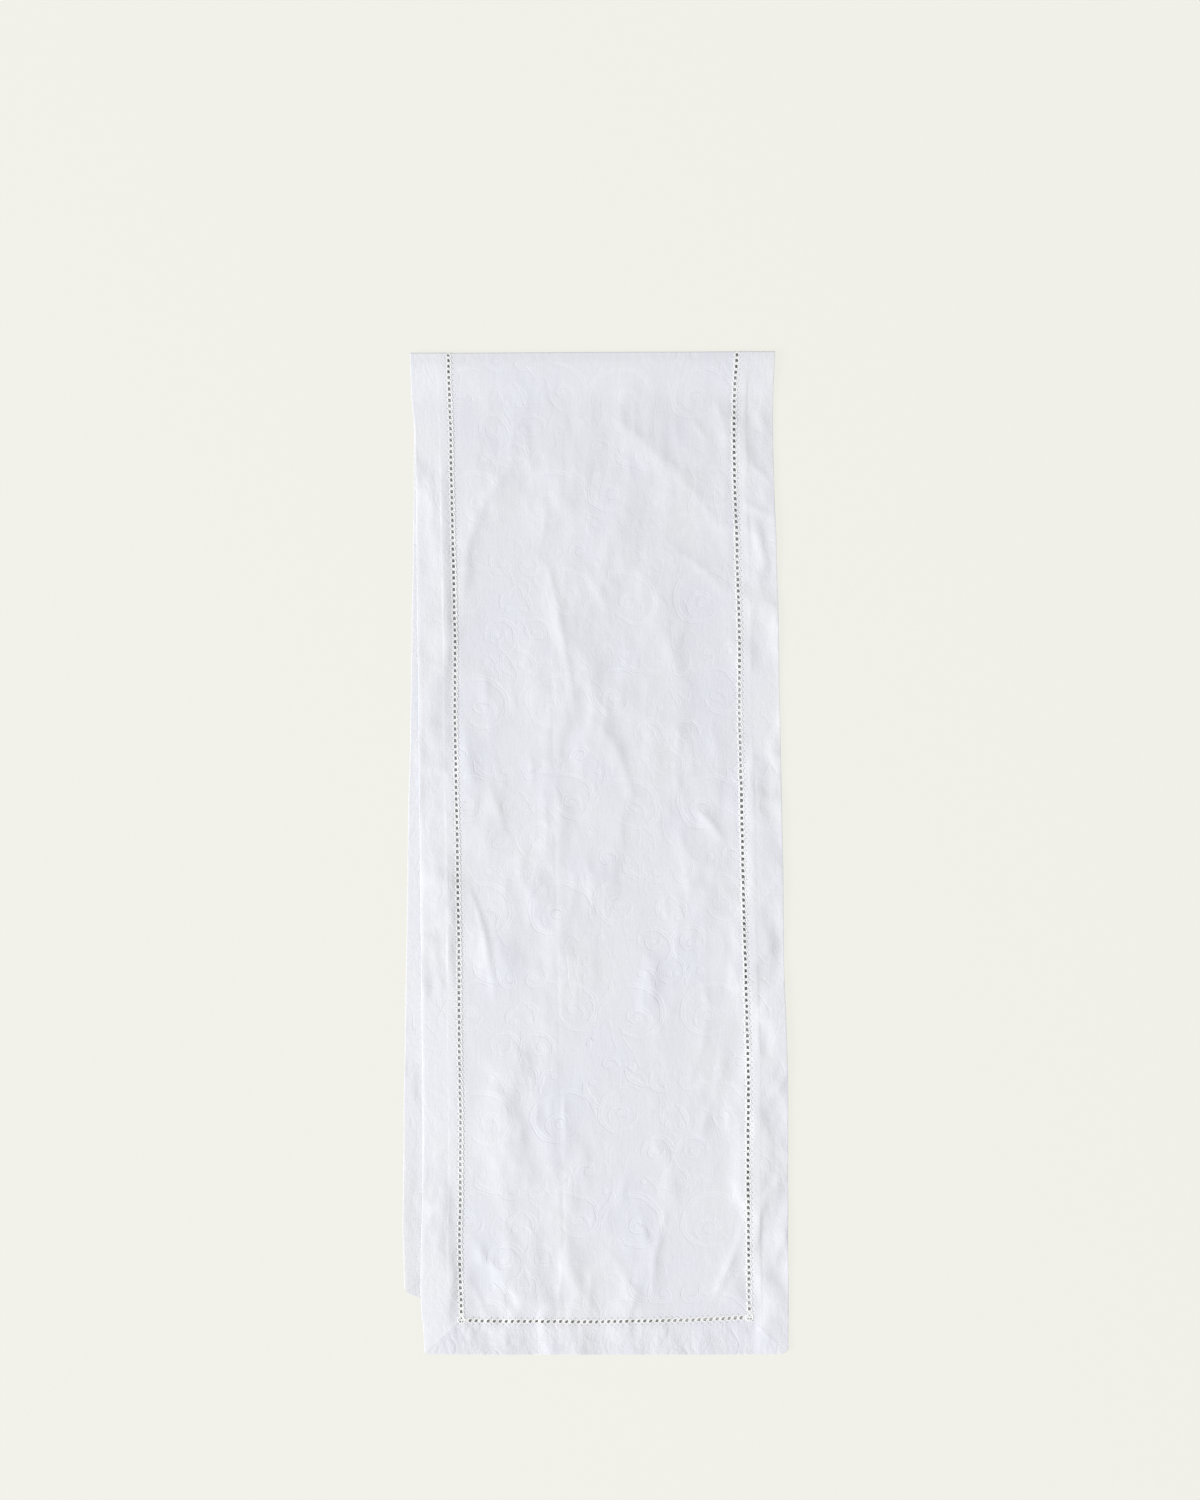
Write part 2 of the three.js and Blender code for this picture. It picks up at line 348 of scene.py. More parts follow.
def drawn_upper(u, s):
    return drawn(u, s, UPPER_SIDEWAYS, UPPER_CORNERS, UPPER_ROW, UPPER_REACH)


def drawn_lower(u, s):
    at_u, at_s = drawn(u, s, LOWER_SIDEWAYS, LOWER_CORNERS, LOWER_ROW, LOWER_REACH)
    in_corner = np.clip((-u - HALF_WIDTH + 18) / 18, 0, 1) * smooth((s - LOWER_REACH + 60) / 60)
    return at_u, at_s - LOWER_CORNER_BACK * in_corner


def puckers(u, s, row, seed):
    """The gathers that the hemstitching pulls into the cloth beside it."""
    side = np.where(u > 0, 1, -1)
    # Across the end row: ripples that run along the leaf, and die out in the panel.
    inside = np.exp(-np.maximum(row - s, 0) / 18)
    outside = np.exp(-np.maximum(s - row, 0) / 60)
    ripple = 0.34 * noise(u / 13, s / 70, seed) + 0.3 * noise(u / 6.5 + 9, s / 40, seed + 1)
    total = ripple * inside * outside * smooth((HALF_WIDTH - np.abs(u)) / 30)
    # Along the side rows: ripples across the hem.
    beside = np.abs(u) - ROW_U
    fade = np.where(beside > 0, np.exp(-beside / 34), np.exp(beside / 13))
    ripple = 0.34 * noise(s / 17 + 40 * side, beside / 40, seed + 2)
    ripple = ripple + 0.15 * noise(s / 8, beside / 30 + 20 * side, seed + 3)
    total += ripple * fade * smooth((row - s) / 60)
    # Round each corner of the hemstitching: a fan.
    du, ds = np.abs(u) - ROW_U, s - row
    angle, radius = np.arctan2(ds, du), np.hypot(du, ds)
    fan = noise(angle * 2.6 + 11 * side, side * 5.5, seed + 4)
    total += 0.5 * fan * smooth(radius / 14) * np.exp(-radius / 30)
    return total


def folds_of_end_hem(u, s):
    """The set folds of the upper leaf's end hem: its ripples and its two mitres."""
    total = np.zeros(np.broadcast(u, s).shape)
    for middle, height in END_RIPPLES:
        wander = 3 * noise(s / 16, middle / 7, 64)
        total += 0.65 * height * crest(u - middle - wander, 8) * smooth((s - UPPER_ROW) / 14)
    fine = 0.1 * noise(u / 5, s / 32, 77) + 0.045 * noise(u / 2.6, s / 20, 78)
    total += fine * smooth((s - UPPER_ROW) / 8)
    for side in (-1, 1):
        start = (side * (ROW_U + 1), UPPER_ROW + 2)
        end = (side * (HALF_WIDTH - 8), UPPER_REACH - 6)
        total += wrinkle(u, s, [start, end], MITRE_RIDGE, 4)
    return total


PACKING_U = -48  # where the lengthways packing crease reaches the end row
PACKING_DRIFT = 0.007  # how fast it draws nearer the middle
PACKING_S = 1021  # where the crosswise one lies


def crease(distance, height, width):
    return height * np.exp(-np.abs(distance) / width)


def packing_creases(u, s):
    """A straight crease down the upper leaf, from lying folded in its packet, and a fainter one across
    it."""
    down = crease(u - PACKING_U - PACKING_DRIFT * (s - UPPER_ROW), -0.4, 2.8) * smooth((s - 180) / 330)
    down = down * (0.75 + 0.5 * noise(s / 50, 0.5, 66))
    across = crease(s - PACKING_S, 0.15, 2.2) * between(u, -150, 150, 60)
    return down + across


WRINKLED = 0.97  # how high the wrinkles stand, in parts of their listed heights
HILLS = 1.25  # how high the hills and creases are, in parts of their listed heights, and
UNEVEN = [(0, 0.95), (300, 1.15), (700, 1.4), (1122, 1.75)]  # how that grows away from the fold: (s, times)
LIMIT_MIDDLE = 0.45  # the upper leaf's height above the fold's axis stays within LIMIT_HALF of this
LIMIT_HALF = 1.85
ROW_VALLEY = 0.55  # how deep the left hemstitching lies
HEM_BULGE = 0.5  # how far the hem stands out over the edge that is turned in under it
HEM_CURL = 1.1  # how far the hems' edges curl up
EDGE_WAVES = 0.8  # how high the side edges wave
END_WAVES = 0.6  # and the end edge
END_SINK = 1.4  # how far the upper leaf sinks past the end of the lower one


def limited(z):
    away = (z - LIMIT_MIDDLE) / LIMIT_HALF
    return LIMIT_MIDDLE + LIMIT_HALF * away / (1 + away**4) ** 0.25


def upper_height(u, s):
    """How high the middle of the upper leaf lies above the fold's axis."""
    at_u, at_s = drawn_upper(u, s)
    side = np.where(u > 0, 1, -1)
    in_hem = smooth((np.abs(u) - ROW_U) / 12)
    z = HILLS * crumple(at_u, at_s, 11) * softly(s, UNEVEN) * (1 + in_hem * np.where(u > 0, 0.4, 0.2))
    for points, height, width in UPPER_WRINKLES:
        z = z + WRINKLED * wrinkle(at_u, at_s, points, height, width)
    z = z + puckers(u, s, UPPER_ROW, 31) + folds_of_end_hem(u, s) + packing_creases(at_u, at_s)
    # The left hemstitching lies in a valley, and the right one on a ridge.
    z = z - ROW_VALLEY * hump(u + ROW_U + 1, 6) * smooth((UPPER_ROW - s) / 40)
    z = z + (0.6 + 0.7 * between(s, 600, 1100, 90)) * hump(u - ROW_U + 1, 12) * smooth((UPPER_ROW - s) / 60)
    # The hem bulges over the edge that is turned in under it, and steps down past it.
    seen = np.maximum(0.12 + 0.32 * noise(s / 45, 7.5 * side, 61), 0)
    beside = np.abs(u) - ROW_U - ROW_HALF
    z = z - seen * smooth((beside - TURN_IN + 1) / 2)
    z = z + HEM_BULGE * smooth(beside / 11) * (1 - 0.85 * smooth((beside - TURN_IN) / 26))
    # The hems curl up a little, except near the fold.
    z = z + HEM_CURL * np.clip(beside / SIDE_HEM, 0, 1) * between(s, 150, 1100, 80)
    # The free edges wave more than the middle.
    z = z + EDGE_WAVES * smooth((np.abs(u) - ROW_U + 20) / 60) * noise(s / 74 + 30 * side, 3.3 * side, 51)
    z = z + END_WAVES * smooth((s - UPPER_ROW + 15) / 60) * noise(u / 66, 0.5, 52)
    # Below the fold there is a hollow right across, and past it the middle rises a little.
    z = z - 0.5 - 0.5 * hump(s - 62, 26) + 0.6 * hump(s - 125, 34) * hump(u, 110)
    z = limited(z)
    # Past the lower leaf's end it sinks towards the table, and its left edge hangs down over the lower
    # leaf.
    z = z - END_SINK * smooth((s - LOWER_REACH - 2) / 50)
    z = z - 0.3 * smooth((-HALF_WIDTH - u + 2.8) / 2.4) * between(s, 110, LOWER_REACH, 40)
    # It comes down from the fold, and stands highest 10 mm inside the fold's edge.
    down = smooth((s - 7) / 50)
    return z * down + (RISE + 0.35 * hump(s - 10, 7)) * (1 - down)


def lower_height(u, s):
    """How high the middle of the lower leaf lies above the fold's axis: it lies on the table."""
    bare = smooth((-HALF_WIDTH - u + 30) / 12)  # the strip that the upper leaf leaves bare is less pressed
    inner = smooth((PANEL_U - np.abs(u)) / 25)
    z = (0.4 + 0.5 * inner + 2.2 * bare) * crumple(u, s, 71) + 0.45 * puckers(u, s, LOWER_ROW, 83)
    z = z + crease(u - PACKING_U, 0.25, 2.6) * smooth((s - 180) / 330)
    # Its left edge slopes down to the table along the middle, and turns up towards the free end.
    z = z - 0.9 * smooth((-u - HALF_WIDTH + 16) / 16) * between(s, 200, 820, 140)
    z = z * (1 - np.exp(-((s / 40) ** 2)))
    turned_up = 1.3 * smooth((-u - HALF_WIDTH + 20) / 20) * smooth((s - 800) / 150)
    # Just inside the fold it stands up a little under the hemstitching.
    lifted = 2.0 * hump(s - 28, 15) * hump(np.abs(u) - ROW_U, 26)
    return -RISE + (0.5 + 0.4 * inner + 0.5 * bare) * smooth((z + 0.75) / 1.7) + turned_up + lifted


GRID = 1.6  # spacing of the height maps


class HeightMap:
    """A leaf's height, worked out once on a grid, and read between the grid's points."""

    def __init__(self, height, reach, at_fold):
        self.us = np.arange(-HALF_WIDTH - 8, HALF_WIDTH + 8 + GRID, GRID)
        self.ss = np.arange(0, reach + 8 + GRID, GRID)
        u, s = np.meshgrid(self.us, self.ss)
        self.z = height(u, s)
        self.z = self.z - (self.z[0] - at_fold) * hump(s, 20)

    def __call__(self, u, s):
        x = np.clip((u - self.us[0]) / GRID, 0, len(self.us) - 1.001)
        y = np.clip((s - self.ss[0]) / GRID, 0, len(self.ss) - 1.001)
        i, j = x.astype(int), y.astype(int)
        fx, fy = x - i, y - j
        top = self.z[j, i] * (1 - fx) + self.z[j, i + 1] * fx
        bottom = self.z[j + 1, i] * (1 - fx) + self.z[j + 1, i + 1] * fx
        return top * (1 - fy) + bottom * fy


UPPER_MAP = HeightMap(upper_height, UPPER_REACH, RISE)
LOWER_MAP = HeightMap(lower_height, LOWER_REACH, -RISE)


def lay(u, v, n=0.0):
    """Folds and drapes the cloth: points at u and v, and n out from the middle of the cloth, to the frame's
    metres."""
    u, v, n = np.broadcast_arrays(np.asarray(u, float), np.asarray(v, float), np.asarray(n, float))
    # Out is how far the flat cloth is from the fold line, square to it.
    out = v * math.cos(FAN) - u * math.sin(FAN)
    upper = out >= 0
    side = np.where(upper, 1.0, -1.0)
    s = np.maximum(side * v - BIGHT, 0)
    # Whatever stands out is pressed flat where it lies on the table, and at the fold.
    pressed = np.where(upper, 1 - smooth((s - 10) / 40), 1)
    n = n - 0.9 * pressed * np.maximum(n - HEM_THICKNESS / 2, 0)
    upper_u, upper_s = drawn_upper(u, s)
    lower_u, lower_s = drawn_lower(u, s)
    # The cloth starts to turn along a line that is slanted on it, so this is negative on one side of the
    # middle.
    past_fold = np.maximum(side * v - BIGHT / math.cos(FAN), -HALF_WIDTH)
    moved_u = np.where(upper, upper_u, lower_u)
    moved_s = past_fold + np.where(upper, upper_s, lower_s) - s
    x = moved_u * math.cos(FAN) + side * moved_s * math.sin(FAN)
    x = x + np.where(upper, 0, moved_s * (math.sin(FAN) - math.sin(LOWER_LEAN)))
    y = side * moved_u * math.sin(FAN) - moved_s * math.cos(FAN)
    z = np.where(upper, UPPER_MAP(u, s), LOWER_MAP(u, s)) + side * n
    turn = np.clip(out / BIGHT, -1, 1) * math.pi / 2
    in_bight = np.abs(out) < BIGHT
    x = np.where(in_bight, drawn_upper(u, 0 * u)[0] / math.cos(FAN), x)
    y = np.where(in_bight, (BULGE + n) * np.cos(turn) - drawn_back(u), y)
    z = np.where(in_bight, (RISE + n) * np.sin(turn), z)
    return np.stack([FOLD_X + x, FOLD_Y + y, FOLD_Z + z], -1) * MM


# ---------------------------------------------------------------- making meshes

SHARP = math.radians(50)  # edges bent more than this stay crisp


def grid_faces(rows, cols, wrap=False, first=0):
    """Quads over a grid of points numbered row by row from first; wrap joins the last column to the
    first."""
    r = np.arange(rows - 1)[:, None]
    c = np.arange(cols if wrap else cols - 1)[None, :]
    right = (c + 1) % cols
    quads = np.stack([r * cols + c, r * cols + right, (r + 1) * cols + right, (r + 1) * cols + c], -1)
    return quads.reshape(-1, 4) + first


def make_piece(name, u, v, n, faces, pattern=None):
    """A mesh of cloth points, folded and draped. It keeps its flat place on the cloth as an attribute for
    the weave."""
    u, v, n = (np.asarray(a, float).ravel() for a in (u, v, n))
    mesh = bpy.data.meshes.new(name)
    mesh.from_pydata(lay(u, v, n).tolist(), [], [list(map(int, f)) for f in faces])
    place = np.stack([u, v, n], -1) if pattern is None else np.asarray(pattern, float).reshape(-1, 3)
    attribute = mesh.attributes.new("cloth", "FLOAT_VECTOR", "POINT")
    attribute.data.foreach_set("vector", (place * MM).astype(np.float32).ravel())
    mesh.shade_smooth()
    mesh.set_sharp_from_angle(angle=SHARP)
    mesh.validate()
    piece = bpy.data.objects.new(name, mesh)
    bpy.context.scene.collection.objects.link(piece)
    return piece


def bend_at_fold(piece, u, v):
    """Lays piece's points flat at u and v, bakes its transform into them, and then puts its draped points
    back."""
    draped = np.zeros(len(piece.data.vertices) * 3, np.float32)
    piece.data.vertices.foreach_get("co", draped)
    flat = np.stack([np.ravel(u), np.ravel(v), np.zeros(np.size(u))], -1) * MM
    piece.data.vertices.foreach_set("co", flat.astype(np.float32).ravel())
    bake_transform(piece)
    piece.data.vertices.foreach_set("co", draped)
    piece.data.update()
    return piece


def stations(*zones):
    """Places along a line, through zones of (start, end, step)."""
    places = []
    for start, end, step in zones:
        places += list(np.linspace(start, end, max(1, round((end - start) / step)) + 1))
    return np.unique(np.round(places, 4))


AT_FOLD = 9.0  # the stretch either side of the fold where the mesh is fine
FOLD_STEP = 0.75

# ---------------------------------------------------------------- the damask panel


def coarse_faces(rows, cols):
    """Faces over a grid of points that skip every other row and column, except along the rim, where every
    point is used. The four outermost corners are left out."""
    row_steps = sorted({0, *range(1, rows - 1, 2), rows - 2, rows - 1})
    col_steps = sorted({0, *range(1, cols - 1, 2), cols - 2, cols - 1})
    faces = []
    for r0, r1 in zip(row_steps, row_steps[1:]):
        for c0, c1 in zip(col_steps, col_steps[1:]):
            if (r0 == 0 or r1 == rows - 1) and (c0 == 0 or c1 == cols - 1):
                continue
            rim_cols, rim_rows = range(c0 + 1, c1), range(r0 + 1, r1)
            face = [(r0, c0)] + [(r0, c) for c in rim_cols if r0 == 0]
            face += [(r0, c1)] + [(r, c1) for r in rim_rows if c1 == cols - 1]
            face += [(r1, c1)] + [(r1, c) for c in reversed(rim_cols) if r1 == rows - 1]
            face += [(r1, c0)] + [(r, c0) for r in reversed(rim_rows) if c0 == 0]
            faces.append([r * cols + c for r, c in face])
    return faces


def make_panel():
    """The centre panel: one sheet right round the fold, with a small corner cut out under each rosette. Its
    inner face, which is hidden while the runner is folded, has a coarser mesh."""
    corner = 2.4
    top = UPPER_END - ROW_INSET - ROW_HALF
    bottom = -(LOWER_END - ROW_INSET - ROW_HALF)
    crease_start, crease_end = PACKING_U - 11, PACKING_U + 5
    us = stations((-PANEL_U, crease_start, 2.5), (crease_start, crease_end, 1.3), (crease_end, PANEL_U, 2.5))
    us = np.sort(np.append(us, [-PANEL_U + corner, PANEL_U - corner]))
    across = PACKING_S + BIGHT
    vs = stations((bottom, -AT_FOLD, 6), (-AT_FOLD, AT_FOLD, FOLD_STEP), (AT_FOLD, across - 3, 3.4),
                  (across - 3, across + 3, 1), (across + 3, top, 3.4))
    vs = np.sort(np.append(vs, [bottom + corner, top - corner]))
    us, vs = us[np.append(True, np.diff(us) > 0.2)], vs[np.append(True, np.diff(vs) > 0.2)]
    u, v = np.meshgrid(us, vs)
    rows, cols = u.shape
    size = rows * cols
    front = grid_faces(rows, cols)
    keep = np.ones(len(front), bool)
    keep[[0, cols - 2, len(front) - cols + 1, len(front) - 1]] = False
    front = front[keep].tolist()
    back = [[point + size for point in reversed(face)] for face in coarse_faces(rows, cols)]
    edges = {(start, end) for face in front for start, end in zip(face, face[1:] + face[:1])}
    rim = sorted((start, end) for start, end in edges if (end, start) not in edges)
    faces = front + back + [(end, start, start + size, end + size) for start, end in rim]
    used = np.zeros(2 * size, bool)
    used[[point for face in faces for point in face]] = True
    renumber = np.cumsum(used) - 1
    both_u, both_v = np.tile(u.ravel(), 2)[used], np.tile(v.ravel(), 2)[used]
    n = np.repeat([CLOTH / 2, -CLOTH / 2], size)[used]
    piece = make_piece("damask_panel", both_u, both_v, n, [renumber[list(face)] for face in faces])
    bend_at_fold(piece, both_u, both_v)
    return piece


# ---------------------------------------------------------------- the hems

WALL = 0.9 * CLOTH  # the cloth is pressed a little thinner in the hems
HEM_STEP = 3.2


def hem_half(t, width):
    """Half of a hem's thickness, t out from the hemstitching: it is pressed thinner at both of its
    edges."""
    nose = np.clip((t - width + 2.2) / 2.2, 0, 1)
    return 0.34 + 0.16 * smooth(t / 3.5) - 0.14 * (1 - np.sqrt(1 - nose**2))


def hem_front(t, width):
    """How far the hem's outer face stands out: more where the raw edge is turned in under it."""
    return hem_half(t, width) + 0.08 * smooth((TURN_IN + 0.7 - t) / 1.4) * smooth(t / 2)


def hem_section():
    """A hem's section: the cloth's outside and inside faces as points (out from the hemstitching, n), in
    pairs, from the hemstitched edge of the front layer, round the outer fold, to the hemstitched edge of
    the back layer."""
    fold = float(hem_half(SIDE_HEM, SIDE_HEM))
    at_row = [0, 0.6, 1.6, 3, 5, 7.5, 10]
    at_turn_in = [TURN_IN - 0.7, TURN_IN, TURN_IN + 0.7, TURN_IN + 2]
    middle = [17, 20, 23, 26, 29, 32, 35]
    at_edge = [SIDE_HEM - inset for inset in (3.6, 2.6, 1.8, 1.2, 0.75, fold)]
    spots = np.array(at_row + at_turn_in + middle + at_edge)
    half, front = hem_half(spots, SIDE_HEM), hem_front(spots, SIDE_HEM)
    angles = np.radians(np.arange(60, -61, -30))
    folded = [(SIDE_HEM - fold + fold * math.cos(a), half[-1] * math.sin(a)) for a in angles]
    outside = list(zip(spots, front)) + folded + list(zip(spots[::-1], -half[::-1]))
    inner = fold - WALL
    folded = [(SIDE_HEM - fold + inner * math.cos(a), (half[-1] - WALL) * math.sin(a)) for a in angles]
    inside = list(zip(spots, front - WALL)) + folded + list(zip(spots[::-1], WALL - half[::-1]))
    return np.array(outside), np.array(inside)


def strip_faces(rows, pairs):
    """Faces of a doubled strip whose every row holds its outside points, then its inside points in
    reverse."""
    cols = 2 * pairs
    faces = grid_faces(rows, cols, wrap=True)
    k = np.arange(pairs - 1)
    cap = np.stack([k, k + 1, cols - 2 - k, cols - 1 - k], -1)
    last = (rows - 1) * cols
    return np.concatenate([faces, cap[:, ::-1], cap + last])


def hem_ring():
    """The section as one ring: how far out, n, how far out it was while the cloth was flat, and its pairs
    of points."""
    outside, inside = hem_section()
    ring = np.concatenate([outside, inside[::-1]])
    pairs = len(outside)
    turned = np.arange(pairs) >= pairs / 2
    turned = np.concatenate([turned, turned[::-1]])
    t, n = ring[:, 0], ring[:, 1]
    return t, n, np.where(turned, 2 * SIDE_HEM - t, t), pairs


MITRE_GAP = 0.05  # between the two hems' cut ends, to the middle of the mitre
CHAMFER = 2.6  # their inner corners are cut off this far, under the rosette


def make_side_hem(name, side):
    t, n, flat_t, pairs = hem_ring()
    mitre = t * END_HEM / SIDE_HEM - MITRE_GAP - np.maximum(0, CHAMFER - t)
    top, bottom = UPPER_END - END_HEM, LOWER_END - END_HEM
    vs = stations((-bottom, -AT_FOLD, 5), (-AT_FOLD, AT_FOLD, FOLD_STEP), (AT_FOLD, top, HEM_STEP))
    end = np.where(vs > 0, top, bottom)
    v = vs[:, None] * (1 + mitre[None, :] / end[:, None])
    u = side * (ROW_U + ROW_HALF + t)[None, :] + 0 * v
    n = n[None, :] + 0 * v
    faces = strip_faces(len(vs), pairs)
    if side < 0:
        faces = faces[:, ::-1]
    flat_u = side * (ROW_U + ROW_HALF + flat_t)[None, :] + 0 * v
    piece = make_piece(name, u, v, n, faces, np.stack([flat_u, v, n], -1))
    bend_at_fold(piece, u, v)
    return piece


def make_end_hem(name, leaf, end):
    side_t, n, flat_t, pairs = hem_ring()
    t = side_t * END_HEM / SIDE_HEM
    half_length = ROW_U + ROW_HALF + side_t - MITRE_GAP - np.maximum(0, CHAMFER - t)
    shares = stations((-1, 1, 2.6 / HALF_WIDTH))
    u = shares[:, None] * half_length[None, :]
    v = leaf * (end - END_HEM + t)[None, :] + 0 * u
    n = n[None, :] + 0 * u
    faces = strip_faces(len(shares), pairs)
    if leaf > 0:
        faces = faces[:, ::-1]
    flat_v = leaf * (end - END_HEM + flat_t * END_HEM / SIDE_HEM)[None, :] + 0 * u
    return make_piece(name, u, v, n, faces, np.stack([u, flat_v, n], -1))


# ---------------------------------------------------------------- the hemstitching


class Threads:
    """Lengths of thread as closed tubes, in a local frame: w along the row, c across it towards the hem, n
    out."""

    def __init__(self):
        self.points, self.faces, self.count = [], [], 0

    def run(self, path, radius, sides=6):
        """One thread along path."""
        path = np.array(path, float)
        heading = np.gradient(path, axis=0)
        heading /= np.linalg.norm(heading, axis=1)[:, None]
        across = np.cross(heading, [0, 0, 1.0])
        across /= np.maximum(np.linalg.norm(across, axis=1), 1e-6)[:, None]
        up = np.cross(across, heading)
        radius = np.broadcast_to(radius, len(path))
        angle = np.linspace(0, 2 * math.pi, sides, endpoint=False)
        ring = across[:, None, :] * np.cos(angle)[None, :, None]
        ring = ring + up[:, None, :] * np.sin(angle)[None, :, None]
        self.points.append((path[:, None, :] + ring * radius[:, None, None]).reshape(-1, 3))
        self.faces.append(grid_faces(len(path), sides, wrap=True, first=self.count))
        last = self.count + (len(path) - 1) * sides
        cap = np.array([[0, k, k + 1, k + 2] for k in range(1, sides - 2, 2)])
        self.faces += [cap[:, ::-1] + self.count, cap + last]
        self.count += len(path) * sides

    def loop(self, centre, loop_radius, radius, steps=16, sides=6, height=0.0):
        """One closed ring of thread."""
        angle = np.linspace(0, 2 * math.pi, steps, endpoint=False)
        tube = np.linspace(0, 2 * math.pi, sides, endpoint=False)
        r = loop_radius + radius * np.cos(tube)[None, :]
        w = centre[0] + r * np.cos(angle)[:, None]
        c = centre[1] + r * np.sin(angle)[:, None]
        n = height + radius * np.sin(tube)[None, :] + 0 * w
        self.points.append(np.stack([w, c, n], -1).reshape(-1, 3))
        ring = grid_faces(steps + 1, sides, wrap=True)
        ring = np.where(ring >= steps * sides, ring - steps * sides, ring)
        self.faces.append(ring[:, ::-1] + self.count)
        self.count += steps * sides

    def done(self):
        return np.concatenate(self.points), np.concatenate(self.faces)


NEEDLE_INNER = 3.9  # from a row's middle to its two columns of needle holes, on either side
NEEDLE_OUTER = 6.8


def cloth_face(c):
    """How far the outer face of the cloth beside a hemstitch row stands out, c from the row's middle to the
    hem."""
    hem = hem_front(np.maximum(c - ROW_HALF, 0), SIDE_HEM) * smooth((c - 0.5) / 1.2)
    panel = CLOTH / 2 * smooth((-c - 0.5) / 1.2)
    return np.where(c > 0, hem, panel)


def stitch_cell(pitch, hole, strands, casing):
    """One step of a hemstitch row: a bar of drawn threads at w = 0 and the hole after it, with a satin
    stroke on both sides of the hole, and on both sides of the bar the threads that run out to a needle
    hole."""
    t = Threads()
    half = pitch / 2
    spacing = (pitch - hole) / strands
    for k in range(strands):
        w = (k + 0.5 - strands / 2) * spacing
        path = [(1.35 * w, -1.9, 0.1), (0.95 * w, -0.8, 0.4), (0.95 * w, 0.8, 0.4), (1.35 * w, 1.9, 0.1)]
        t.run(path, 0.62 * spacing, sides=5)
    for side in (-1, 1):
        along = np.linspace(half - hole / 2 - 0.9, half + hole / 2 + 0.9, 5)
        path = zip(along, (1.6, 1.95, 2.15, 2.35, 2.4))
        width = casing * (1.0 if side < 0 else 0.75)
        t.run([(w, side * c, 0.3) for w, c in path], [width * r for r in (0.4, 0.8, 0.95, 0.85, 0.4)])
        for way in (-1, 1):
            t.run([(way * 0.15, side * NEEDLE_INNER, 0.0), (way * 0.8, side * 3.0, 0.45),
                   (way * 1.6, side * 2.2, 0.2)], [width * r for r in (0.25, 0.55, 0.35)], sides=4)
    return t.done()


def rosette():
    """The worked ring where two rows meet: a boss, spokes with small holes between them, an overcast rim,
    and a ring of needle holes round it."""
    t = Threads()
    spokes = 5
    t.loop((0, 0), 0.55, 0.65, steps=14, height=0.3)
    t.loop((0, 0), ROSETTE, 0.8, steps=28, height=0.25)
    for k in range(spokes):
        a = 2 * math.pi * (k + 0.25) / spokes
        path = [(r * math.cos(a), r * math.sin(a), h) for r, h in ((0.7, 0.4), (2.0, 0.25), (ROSETTE, 0.3))]
        t.run(path, [0.6, 0.5, 0.8])
    stitches = 14
    for k in range(stitches):
        a = 2 * math.pi * (k + 0.5) / stitches
        reach = [(ROSETTE, 0.4), (ROSETTE + 0.9, 0.4), (ROSETTE + 1.7, 0.1)]
        t.run([(r * math.cos(a), r * math.sin(a), h) for r, h in reach], [0.4, 0.4, 0.25], sides=4)
        a += math.pi / stitches
        t.loop((6.1 * math.cos(a), 6.1 * math.sin(a)), 0.42, 0.17, steps=7, sides=3, height=0.1)
    return t.done()


THREAD_FLATTENED = 0.6  # the stitches are pressed into the cloth, so they stand out less than they are wide


def repeat(cell, places, slant, tilt, seed):
    """Copies of a cell along a row, each a little longer, wider or more slanted than the next, as
    hand-guided work is. Slant leans the bars along the row, and tilt turns the holes across it."""
    points, faces = cell
    random = np.random.RandomState(seed)
    count = len(places)
    stretch = 1 + random.uniform(-0.07, 0.07, (count, 1))
    widen = 1 + random.uniform(-0.1, 0.08, (count, 1))
    slant = slant + random.uniform(-0.12, 0.12, (count, 1))
    shift = random.uniform(-0.16, 0.16, (count, 1))
    tilt = tilt * (0.5 + noise(places / 90, 0.5, seed))[:, None] + random.uniform(-0.04, 0.04, (count, 1))
    pitch = places[1] - places[0]
    local_w, local_c, local_n = (points[None, :, k] for k in range(3))
    w = places[:, None] + local_w * stretch + slant * local_c * hump(local_c, 4)
    c = local_c * widen + shift + tilt * (local_w - pitch / 2) * hump(local_c, 4)
    n = np.repeat(local_n * THREAD_FLATTENED, count, 0)
    numbers = faces[None] + (np.arange(count) * len(points))[:, None, None]
    return w.ravel(), c.ravel(), n.ravel(), numbers.reshape(-1, 4)


FIRST_BAR = ROSETTE + 2.3  # from a rosette's middle to the first bar of the row
SIDE_HOLE = 3.6  # length of a hole in the side rows
END_HOLE = 3.1  # and in the end rows
SIDE_CASING = 0.9  # how thick the stitches beside the holes are in the side rows
END_CASING = 0.7  # and in the end rows
STRANDS = 5  # threads in a bar


def bar_places(start, end, pitch):
    """Where the bars of a row are, from the middle of one rosette to the middle of the next."""
    return np.linspace(start + FIRST_BAR, end - FIRST_BAR, round((end - start - 2 * FIRST_BAR) / pitch) + 1)


SIDE_BARS = bar_places(ROW_INSET - LOWER_END, UPPER_END - ROW_INSET, SIDE_PITCH)
END_BARS = bar_places(-ROW_U, ROW_U, END_PITCH)


def make_side_row(name, side):
    places = SIDE_BARS
    cell = stitch_cell(places[1] - places[0], SIDE_HOLE, STRANDS, SIDE_CASING)
    w, c, n, faces = repeat(cell, places, 0.0, 0.22 * side, 17 + side)
    if side < 0:
        faces = faces[:, ::-1]
    u = side * (ROW_U + c)
    piece = make_piece(name, u, w, n + cloth_face(c), faces[:, ::-1])
    bend_at_fold(piece, u, w)
    return piece


